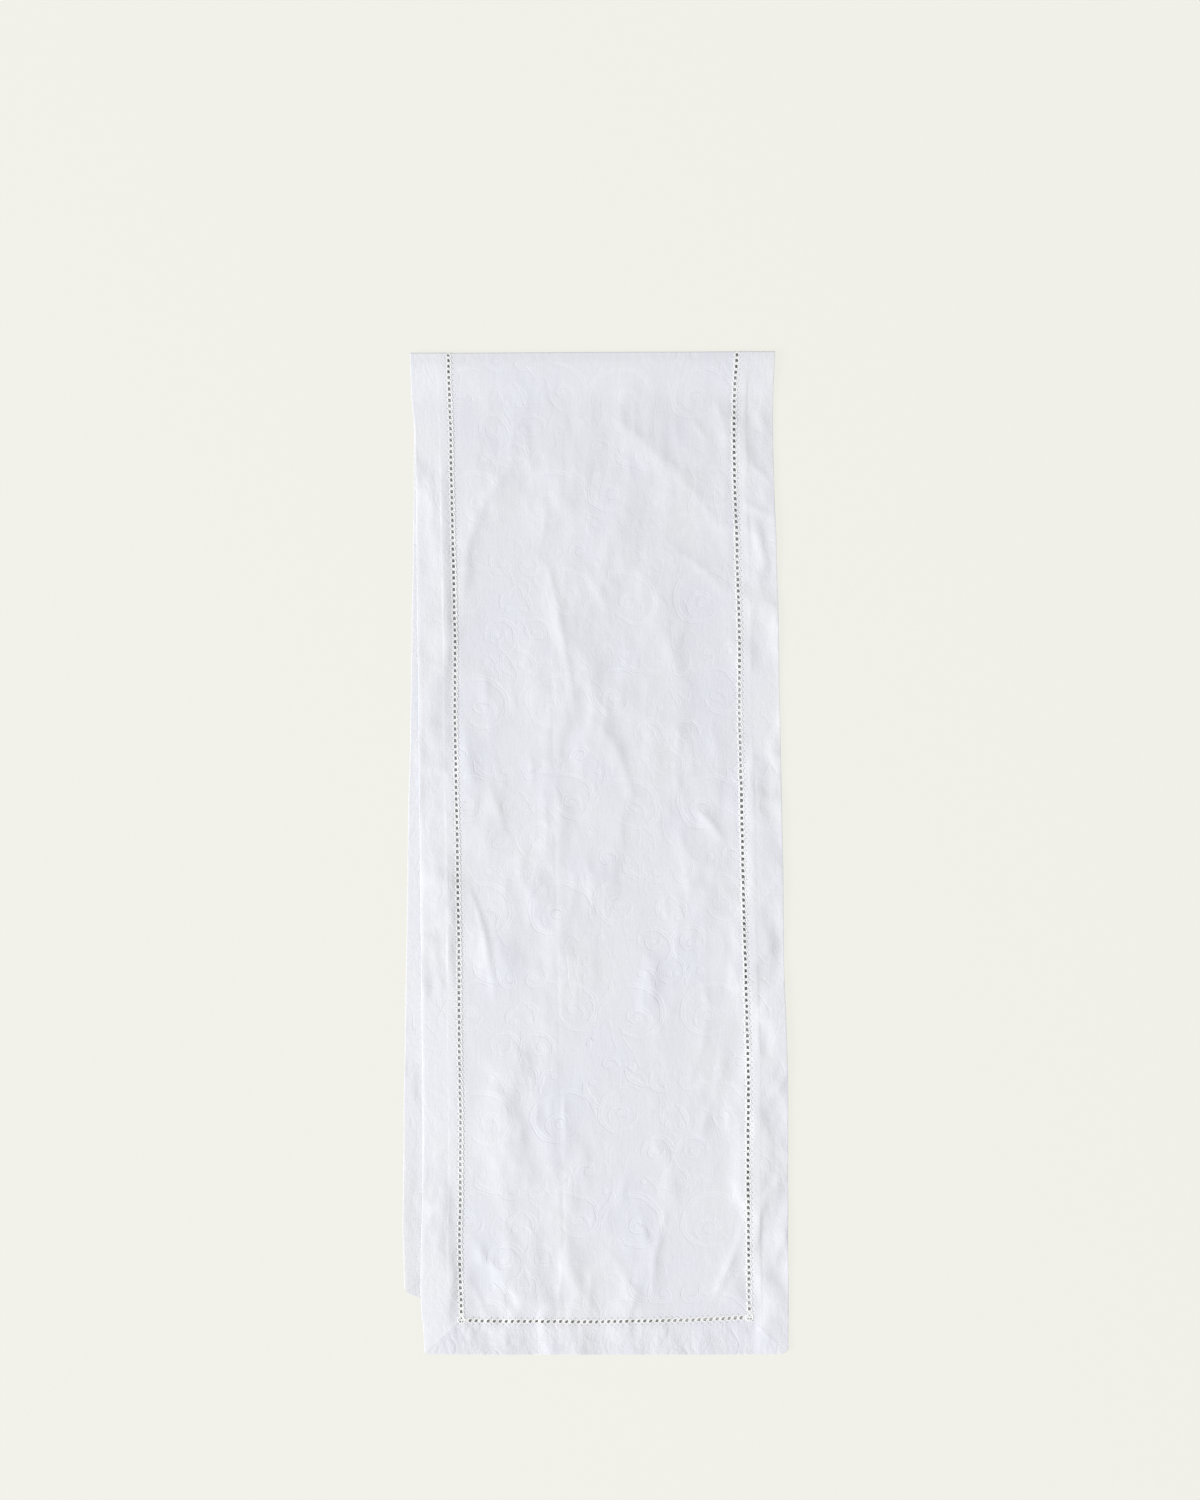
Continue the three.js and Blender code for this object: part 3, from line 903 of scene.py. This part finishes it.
def make_end_row(name, leaf, end):
    row = end - ROW_INSET
    places = END_BARS
    cell = stitch_cell(places[1] - places[0], END_HOLE, STRANDS, END_CASING)
    w, c, n, faces = repeat(cell, places, -0.35, 0.0, 27 + leaf)
    parts = [(w, row + c, n + cloth_face(c), faces)]
    ring_points, ring_faces = rosette()
    total = len(w)
    for side in (-1, 1):
        ring_u, ring_c = side * ROW_U + ring_points[:, 0], ring_points[:, 1]
        ring_n = ring_points[:, 2] * THREAD_FLATTENED
        lift = np.maximum(cloth_face(ring_c), cloth_face(side * ring_points[:, 0]))
        parts.append((ring_u, row + ring_c, ring_n + lift, ring_faces + total))
        total += len(ring_points)
    u, v, n, faces = (np.concatenate([part[k] for part in parts]) for k in range(4))
    if leaf < 0:
        faces = faces[:, ::-1]
    return make_piece(name, u, leaf * v, n, faces)


# ---------------------------------------------------------------- the mitre seams


def make_mitre_seam(name, leaf, end, side):
    """Slip stitches along the mitre, from the hem's inner corner to its outer corner."""
    t = Threads()
    length = math.hypot(SIDE_HEM, END_HEM)
    for w in np.arange(5.5, length - 1.5, 2.6):
        t.run([(w - 0.6, -0.55, -0.04), (w, 0, 0.1), (w + 0.6, 0.55, -0.04)], 0.17, sides=4)
    points, faces = t.done()
    du, dv = SIDE_HEM / length, END_HEM / length
    out = points[:, 0] * du + points[:, 1] * dv
    down = points[:, 0] * dv - points[:, 1] * du
    if side * leaf < 0:
        faces = faces[:, ::-1]
    n = points[:, 2] + hem_front(out, SIDE_HEM)
    return make_piece(name, side * (ROW_U + ROW_HALF + out), leaf * (end - END_HEM + down), n, faces)


# ---------------------------------------------------------------- materials


class Nodes:
    """Shorthand for building a node tree."""

    def __init__(self, tree):
        self.tree = tree

    def add(self, kind, inputs=(), **settings):
        """A node with its settings and inputs. An input is a value, or a socket to link it to."""
        node = self.tree.nodes.new(kind)
        for key, value in settings.items():
            setattr(node, key, value)
        for key, value in dict(inputs).items():
            socket = node.inputs[key]
            if isinstance(value, bpy.types.NodeSocket):
                self.link(value, socket)
            else:
                socket.default_value = value
        return node

    def math(self, operation, *values, clamp=False):
        node = self.add("ShaderNodeMath", dict(enumerate(values)), operation=operation, use_clamp=clamp)
        return node.outputs[0]

    def times(self, a, b):
        return self.math("MULTIPLY", a, b)

    def minus(self, a, b):
        return self.math("SUBTRACT", a, b)

    def scaled(self, value, times, plus):
        return self.math("MULTIPLY_ADD", value, times, plus)

    def distance(self, a, b):
        return self.math("SQRT", self.math("ADD", self.times(a, a), self.times(b, b)))

    def ramp(self, value, start, end):
        """0 before start and 1 after end, smoothly."""
        inputs = {"Value": value, "From Min": start, "From Max": end}
        return self.add("ShaderNodeMapRange", inputs, interpolation_type="SMOOTHSTEP").outputs["Result"]

    def noise(self, place, cells, detail=2.0):
        """Noise with cells to the metre along u and v."""
        stretched = self.add("ShaderNodeVectorMath", {0: place, 1: (*cells, 0.0)}, operation="MULTIPLY")
        inputs = {"Vector": stretched.outputs[0], "Scale": 1.0, "Detail": detail, "Roughness": 0.55}
        return self.add("ShaderNodeTexNoise", inputs).outputs["Fac"]

    def bump(self, height):
        """A normal from a height in millimetres."""
        inputs = {"Height": height, "Strength": 1.0, "Distance": MM}
        return self.add("ShaderNodeBump", inputs).outputs["Normal"]

    def link(self, value, socket):
        self.tree.links.new(value, socket)

    def attribute(self, name):
        return self.add("ShaderNodeAttribute", attribute_name=name).outputs["Vector"]

    def scale(self, vector, value):
        return self.add("ShaderNodeVectorMath", {0: vector, 3: value}, operation="SCALE").outputs[0]


CURL_INPUTS = ("A", "B", "Centre A", "Centre B", "Start radius", "Growth", "Hand", "Start angle", "Turned",
               "Width")
LARGEST_EYE = 3.6  # radius of the dot in the middle of a scroll


def curl_group():
    """One stroke of the damask figure: a tapered band along a logarithmic spiral. With many turns it is a
    scroll with an eye, and with less than one turn and quick growth it is a leaf. Figure is 1 on the band,
    and Relief is how the band stands up from the ground, with a vein sunk along its middle."""
    tree = bpy.data.node_groups.new("damask_curl", "ShaderNodeTree")
    for name in CURL_INPUTS:
        tree.interface.new_socket(name, in_out="INPUT", socket_type="NodeSocketFloat")
    for name in ("Figure", "Relief"):
        tree.interface.new_socket(name, in_out="OUTPUT", socket_type="NodeSocketFloat")
    g = Nodes(tree)
    into = tree.nodes.new("NodeGroupInput").outputs
    a = g.minus(into["A"], into["Centre A"])
    b = g.minus(into["B"], into["Centre B"])
    radius = g.distance(a, b)
    angle = g.times(g.minus(g.math("ARCTAN2", b, a), into["Start angle"]), into["Hand"])
    times = g.math("DIVIDE", g.math("MAXIMUM", radius, 1e-5), into["Start radius"])
    grown = g.math("LOGARITHM", times, math.e)
    travel = g.math("DIVIDE", grown, into["Growth"])
    off = g.math("WRAP", g.minus(travel, angle), math.pi, -math.pi)
    away = g.times(g.math("ABSOLUTE", off), g.times(radius, into["Growth"]))
    share = g.math("DIVIDE", travel, into["Turned"], clamp=True)
    taper = g.math("SQRT", g.times(share, g.minus(1.0, share)))
    lobes = g.scaled(g.math("SINE", g.times(travel, 8.0)), 0.15, 0.85)
    broad = g.times(g.times(into["Width"], lobes), taper)
    within_band = g.minus(broad, g.math("ADD", away, 0.7 * MM))
    eye = g.math("MINIMUM", g.times(into["Start radius"], 1.2), LARGEST_EYE * MM)
    within_eye = g.minus(eye, radius)
    within = g.math("MAXIMUM", within_band, within_eye)
    raised = g.ramp(within, -0.6 * MM, 0.7 * MM)
    vein = g.minus(1.0, g.ramp(away, 0.2 * MM, 0.9 * MM))
    deep = g.ramp(within_band, 1.0 * MM, 2.0 * MM)
    relief = g.minus(raised, g.times(g.times(vein, deep), 0.45))
    out = tree.nodes.new("NodeGroupOutput")
    tree.links.new(g.ramp(within, -0.25 * MM, 0.25 * MM), out.inputs["Figure"])
    tree.links.new(relief, out.inputs["Relief"])
    return tree


# The damask figure, in one half of a mirrored repeat: strokes as (across, along, start radius, growth,
# hand, start angle, how far it turns, width), in millimetres and radians. The repeat is HALF_REPEAT wide
# and REPEAT long.
HALF_REPEAT = 84
REPEAT = 232
STROKES = [
    (44, 64, 19.0, 0.15, -1, 2.4, 5.6, 10.0),
    (44, 64, 3.2, 0.25, 1, 0.4, 6.8, 10.0),
    (26, 172, 14.0, 0.18, 1, 0.2, 5.2, 9.0),
    (26, 172, 2.8, 0.27, -1, 2.2, 6.0, 9.0),
    (70, 136, 2.8, 0.28, 1, 3.6, 6.6, 10.0),
    (62, 214, 12.0, 0.19, 1, 3.0, 4.8, 9.0),
    (62, 214, 2.6, 0.27, -1, 5.2, 5.8, 8.5),
    (12, 118, 2.6, 0.30, 1, 1.0, 5.6, 8.5),
    (80, 16, 9.0, 0.22, 1, 1.8, 4.0, 8.0),
    (8, 22, 7.0, 0.90, 1, 0.3, 1.8, 13.0),
    (38, 122, 6.0, 0.85, -1, 2.5, 1.8, 12.0),
    (76, 184, 6.0, 0.90, 1, 3.4, 1.6, 12.0),
    (50, 14, 5.5, 0.85, 1, 5.4, 1.7, 11.0),
    (6, 206, 5.0, 0.90, -1, 4.0, 1.6, 11.0),
]


def damask_figure(g, across, along):
    """The damask's figure and its relief, both from 0 on the ground to 1, at a place on the flat cloth, in
    metres."""
    column = g.math("FLOOR", g.math("DIVIDE", across, 2 * HALF_REPEAT * MM))
    odd = g.math("MODULO", g.math("ABSOLUTE", column), 2.0)
    dropped = g.math("ADD", along, g.times(odd, REPEAT / 2 * MM))
    a = g.math("PINGPONG", across, HALF_REPEAT * MM)
    b = g.math("WRAP", dropped, REPEAT * MM, 0.0)
    curl = curl_group()
    figure = relief = 0.0
    for ca, cb, start, growth, hand, angle, turned, width in STROKES:
        values = (a, b, ca * MM, cb * MM, start * MM, growth, hand, angle, turned, width * MM)
        node = g.add("ShaderNodeGroup", dict(zip(CURL_INPUTS, values)), node_tree=curl)
        figure = g.math("MAXIMUM", figure, node.outputs["Figure"])
        relief = g.math("MAXIMUM", relief, node.outputs["Relief"])
    return figure, relief


def needle_holes(g, from_row, along, bars, within):
    """The needle holes beside a row of hemstitching: 1 in a hole and 0 between them. They lie in two
    columns on either side of the row: one level with its bars, and a fainter one level with its holes."""
    pitch = (bars[1] - bars[0]) * MM
    total = 0.0
    for column, level, depth in ((NEEDLE_INNER + 0.2, 0.0, 1.0), (NEEDLE_OUTER, 0.5, 0.3)):
        across = g.minus(g.math("ABSOLUTE", from_row), column * MM)
        step = g.minus(along, bars[0] * MM + level * pitch)
        step = g.math("WRAP", step, pitch / 2, -pitch / 2)
        inside = g.minus(1.0, g.ramp(g.distance(across, step), 0.3 * MM, 0.8 * MM))
        hole = g.times(inside, depth)
        total = g.math("MAXIMUM", total, hole)
    return g.times(total, within)


def pricked(g, across, along):
    """Every needle hole in the cloth, from its flat place."""
    upper = g.math("GREATER_THAN", along, 0.0)
    lower_row, upper_row = (LOWER_END - ROW_INSET) * MM, (UPPER_END - ROW_INSET) * MM
    end_row = g.scaled(upper, upper_row - lower_row, lower_row)
    from_side = g.minus(g.math("ABSOLUTE", across), ROW_U * MM)
    from_end = g.minus(g.math("ABSOLUTE", along), end_row)
    beside = g.math("LESS_THAN", from_end, -FIRST_BAR * MM)
    between_sides = g.math("LESS_THAN", from_side, -FIRST_BAR * MM)
    side_holes = needle_holes(g, from_side, along, SIDE_BARS, beside)
    return g.math("MAXIMUM", side_holes, needle_holes(g, from_end, across, END_BARS, between_sides))


def fine_creases(g, place, cells, width):
    """Thin wandering creases: 1 on a crease, falling straight to 0 on both sides of it."""
    away = g.math("ABSOLUTE", g.minus(g.noise(place, cells, 1.0), 0.5))
    return g.minus(1.0, g.math("DIVIDE", away, width, clamp=True))


def new_material(name):
    """A material, its nodes and its shader."""
    material = bpy.data.materials.new(name)
    material.use_nodes = True
    return material, Nodes(material.node_tree), material.node_tree.nodes["Principled BSDF"]


WEAVE_PITCH = 0.55  # from one thread of the weave to the next
WANDER = 14.0  # the figure's lines stray by up to this, in millimetres


def cloth_material(name, tint, figure_depth, figure_height, unevenness):
    """White damask: a fine plain weave with uneven threads, and a satin figure that differs a little in
    colour, gloss and height from its ground. Its heights are in millimetres."""
    material, g, shader = new_material(name)
    place = g.attribute("cloth")
    parts = g.add("ShaderNodeSeparateXYZ", {0: place}).outputs
    across, along = parts[0], parts[1]
    wander_across = g.scaled(g.noise(place, (24.0, 20.0), 1.0), WANDER * MM, across)
    wander_along = g.scaled(g.noise(place, (19.0, 25.0), 1.0), WANDER * MM, along)
    figure, relief = damask_figure(g, wander_across, wander_along)
    pressed = g.ramp(g.noise(place, (12.0, 8.0), 1.0), 0.36, 0.6)
    from_fold = g.ramp(g.math("ABSOLUTE", along), 0.05, 0.75)
    clear = g.scaled(pressed, 0.5, g.scaled(from_fold, 0.35, 0.25))
    relief = g.times(relief, clear)
    hole_dips_and_shade = pricked(g, across, along)
    warp_slubs = g.noise(place, (800.0, 24.0))
    weft_slubs = g.noise(place, (22.0, 900.0))
    cloudy = g.noise(place, (26.0, 20.0), 3.0)
    dimples = g.noise(place, (170.0, 105.0))
    patches = g.ramp(g.noise(place, (16.0, 10.0), 1.0), 0.42, 0.62)
    large = g.times(fine_creases(g, place, (36.0, 21.0), 0.035), patches)
    small = fine_creases(g, place, (92.0, 52.0), 0.06)
    warp = g.math("SINE", g.times(across, 2 * math.pi / (WEAVE_PITCH * MM)))
    weft = g.math("SINE", g.times(along, 2 * math.pi / (WEAVE_PITCH * MM)))
    weave = g.times(warp, weft)

    cool = tuple(channel * change for channel, change in zip(tint, (0.988, 0.994, 1.006)))
    warm = tuple(channel * change for channel, change in zip(tint, (1.01, 1.005, 0.993)))
    bluish = g.ramp(g.noise(place, (11.0, 8.0), 2.0), 0.35, 0.65)
    colour = g.add("ShaderNodeMix", {0: bluish, 4: warm, 5: cool}, data_type="VECTOR").outputs[1]
    value = g.scaled(figure, figure_depth, 1.0 - figure_depth)
    value = g.times(value, g.scaled(warp_slubs, 0.06, 0.97))
    value = g.times(value, g.scaled(weft_slubs, 0.04, 0.98))
    value = g.times(value, g.scaled(cloudy, 0.03, 0.985))
    # painted shade: the needle holes are darkened in the colour, as the shade inside them would darken them;
    # they also dip in the bump below
    value = g.times(value, g.scaled(hole_dips_and_shade, -0.55, 1.0))
    g.link(g.scale(colour, value), shader.inputs["Base Color"])
    g.link(g.scaled(figure, -0.1, 0.8), shader.inputs["Roughness"])

    height = g.times(relief, figure_height)
    height = g.scaled(warp_slubs, 0.06, height)
    height = g.scaled(weft_slubs, 0.025, height)
    height = g.scaled(dimples, 0.22 * unevenness, height)
    height = g.scaled(large, 0.1 * unevenness, height)
    height = g.scaled(small, 0.035 * unevenness, height)
    height = g.scaled(hole_dips_and_shade, -0.12, height)
    height = g.scaled(weave, 0.012, height)
    g.link(g.bump(height), shader.inputs["Normal"])
    shader.inputs["Specular IOR Level"].default_value = 0.3
    shader.inputs["Sheen Weight"].default_value = 0.2
    shader.inputs["Sheen Roughness"].default_value = 0.5
    return material


def thread_material(name, tint):
    """White mercerised thread: a twist of plies with a soft sheen."""
    material, g, shader = new_material(name)
    place = g.attribute("cloth")
    twist = g.add("ShaderNodeTexWave", {"Vector": place, "Scale": 900.0, "Distortion": 2.0, "Detail": 1.0})
    speck = g.add("ShaderNodeTexNoise", {"Vector": place, "Scale": 700.0, "Detail": 2.0}).outputs["Fac"]
    value = g.scaled(speck, 0.04, 0.98)
    g.link(g.scale(tint, value), shader.inputs["Base Color"])
    rough = g.scaled(twist.outputs["Fac"], 0.12, 0.5)
    g.link(rough, shader.inputs["Roughness"])
    g.link(g.bump(g.times(twist.outputs["Fac"], 0.04)), shader.inputs["Normal"])
    shader.inputs["Sheen Weight"].default_value = 0.2
    return material


FLOOR_HALF = 40.0  # metres from the floor's middle to its edges
FLOOR_TINT = (0.878, 0.878, 0.815)
FLOOR_ALBEDO = 0.08  # how much light the floor reflects, in parts of its tint
OPEN_GLOW = 0.92  # how strongly it glows, like a light table
GLOW_IN_PAINTED_SHADE = 0.2  # and where something lies close over it: painted shade under the cloth


def floor_material(name):
    """A pale light table, which hides soft shadows. It glows less where something lies close over it, as
    painted shade under the cloth.
    """
    material, g, shader = new_material(name)
    place = g.add("ShaderNodeTexCoord").outputs["Object"]
    grain = g.add("ShaderNodeTexNoise", {"Vector": place, "Scale": 3.0}).outputs["Fac"]
    value = g.scaled(grain, 0.004, 0.998)
    scaled = tuple(FLOOR_ALBEDO * channel for channel in FLOOR_TINT)
    g.link(g.scale(scaled, value), shader.inputs["Base Color"])
    open_sky = g.add("ShaderNodeAmbientOcclusion", {"Distance": 0.02}, samples=16).outputs["AO"]
    # painted shade: the floor's glow drops under the cloth, where its shade falls
    strength = g.scaled(g.ramp(open_sky, 0.3, 0.48), OPEN_GLOW - GLOW_IN_PAINTED_SHADE, GLOW_IN_PAINTED_SHADE)
    shader.inputs["Emission Color"].default_value = (*FLOOR_TINT, 1.0)
    g.link(strength, shader.inputs["Emission Strength"])
    shader.inputs["Roughness"].default_value = 1.0
    shader.inputs["Specular IOR Level"].default_value = 0.0
    return material


# ---------------------------------------------------------------- camera, lights and floor

LENS = 85.0
SENSOR = 36.0
CAMERA_DISTANCE = 3967  # from the camera to its target, in millimetres like the target itself
CAMERA_TILT = math.radians(4.505)  # it looks down a little from the free end's side
CAMERA_TARGET = (FOLD_X + 6.7, FOLD_Y - 451.2, FOLD_Z)


def make_camera():
    data = bpy.data.cameras.new("camera")
    data.lens = LENS
    data.sensor_width = SENSOR
    camera = bpy.data.objects.new("camera", data)
    bpy.context.scene.collection.objects.link(camera)
    back = np.array([0, -math.sin(CAMERA_TILT), math.cos(CAMERA_TILT)])
    camera.location = (np.array(CAMERA_TARGET) + CAMERA_DISTANCE * back) * MM
    camera.rotation_euler = (CAMERA_TILT, 0, 0)
    bpy.context.scene.camera = camera


SKY = 0.55  # brightness of the plain surroundings
KEY_PLACE = (-7.0, -2.7, 4.5)  # metres: a large soft light low on the left, a little towards the free end
KEY_SIZE = 4.0
KEY_POWER = 715


def make_lights():
    world = bpy.data.worlds.new("studio")
    bpy.context.scene.world = world
    world.use_nodes = True
    background = world.node_tree.nodes["Background"]
    background.inputs["Color"].default_value = (1.0, 1.0, 1.0, 1.0)
    background.inputs["Strength"].default_value = SKY
    key = bpy.data.lights.new("key", "AREA")
    key.shape = "DISK"
    key.size = KEY_SIZE
    key.energy = KEY_POWER
    lamp = bpy.data.objects.new("key", key)
    bpy.context.scene.collection.objects.link(lamp)
    lamp.location = KEY_PLACE
    lamp.rotation_euler = (-Vector(KEY_PLACE)).to_track_quat("-Z", "Y").to_euler()
    lamp.visible_camera = False


def make_floor():
    mesh = bpy.data.meshes.new("floor")
    corners = [(FLOOR_HALF * x, FLOOR_HALF * y, 0) for x, y in ((-1, -1), (1, -1), (1, 1), (-1, 1))]
    mesh.from_pydata(corners, [], [(0, 1, 2, 3)])
    floor = bpy.data.objects.new("floor", mesh)
    bpy.context.scene.collection.objects.link(floor)
    mesh.materials.append(floor_material("floor"))


# ---------------------------------------------------------------- the runner, put together

bpy.context.scene.view_settings.view_transform = "Standard"
make_camera()
make_lights()
make_floor()

# Each cloth's tint, its figure's depth of colour and height, and how uneven it is.
damask = cloth_material("damask_cloth", (0.783, 0.79, 0.838), 0.018, 0.15, 1.0)
hem_cloth = cloth_material("hem_cloth", (0.806, 0.816, 0.855), 0.006, 0.03, 1.4)
# painted shade: the upper leaf's end hem gets a darker copy of the hem cloth, standing in for the shade that
# falls on it
end_hem_cloth_shaded_upper = {
    "upper": cloth_material("end_hem_cloth_shaded_upper", (0.765, 0.771, 0.82), 0.006, 0.03, 2.5),
    "lower": hem_cloth,
}
thread = thread_material("hemstitch_thread", (0.93, 0.93, 0.935))


def dress(piece, material, slot, *nodes):
    """Gives piece its material, and hides the CAD nodes that it stands for. Its slot is not used."""
    piece.data.materials.append(material)
    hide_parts(*nodes)
    return piece


PARTS_ROUND_FOLD = ("lower", "fold", "upper")
panel = dress(make_panel(), damask, "damask_cloth", *(f"{part}_panel" for part in PARTS_ROUND_FOLD))
going_with_panel = []
for word, side in (("left", -1), ("right", 1)):
    hem = make_side_hem(f"hem_{word}", side)
    dress(hem, hem_cloth, "hem_cloth", *(f"{part}_hem_{word}" for part in PARTS_ROUND_FOLD))
    row = make_side_row(f"hemstitching_{word}", side)
    dress(row, thread, "hemstitch_thread", *(f"{part}_hemstitch_{word}" for part in PARTS_ROUND_FOLD))
    going_with_panel += [hem, row]

for part, leaf, end, body in (("upper", 1, UPPER_END, UPPER_BODY), ("lower", -1, LOWER_END, LOWER_BODY)):
    hem = make_end_hem(f"hem_end_{part}", leaf, end)
    dress(hem, end_hem_cloth_shaded_upper[part], "hem_cloth", f"{part}_hem_end")
    row = make_end_row(f"hemstitching_end_{part}", leaf, end)
    dress(row, thread, "hemstitch_thread", f"{part}_hemstitch_end")
    seams = []
    for word, side in (("left", -1), ("right", 1)):
        seam = make_mitre_seam(f"mitre_seam_{part}_{word}", leaf, end, side)
        seams.append(dress(seam, thread, "hemstitch_thread", f"{part}_mitre_seam_{word}"))
    for piece in (hem, row, *seams):
        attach(piece, body)
        going_with_panel.append(piece)
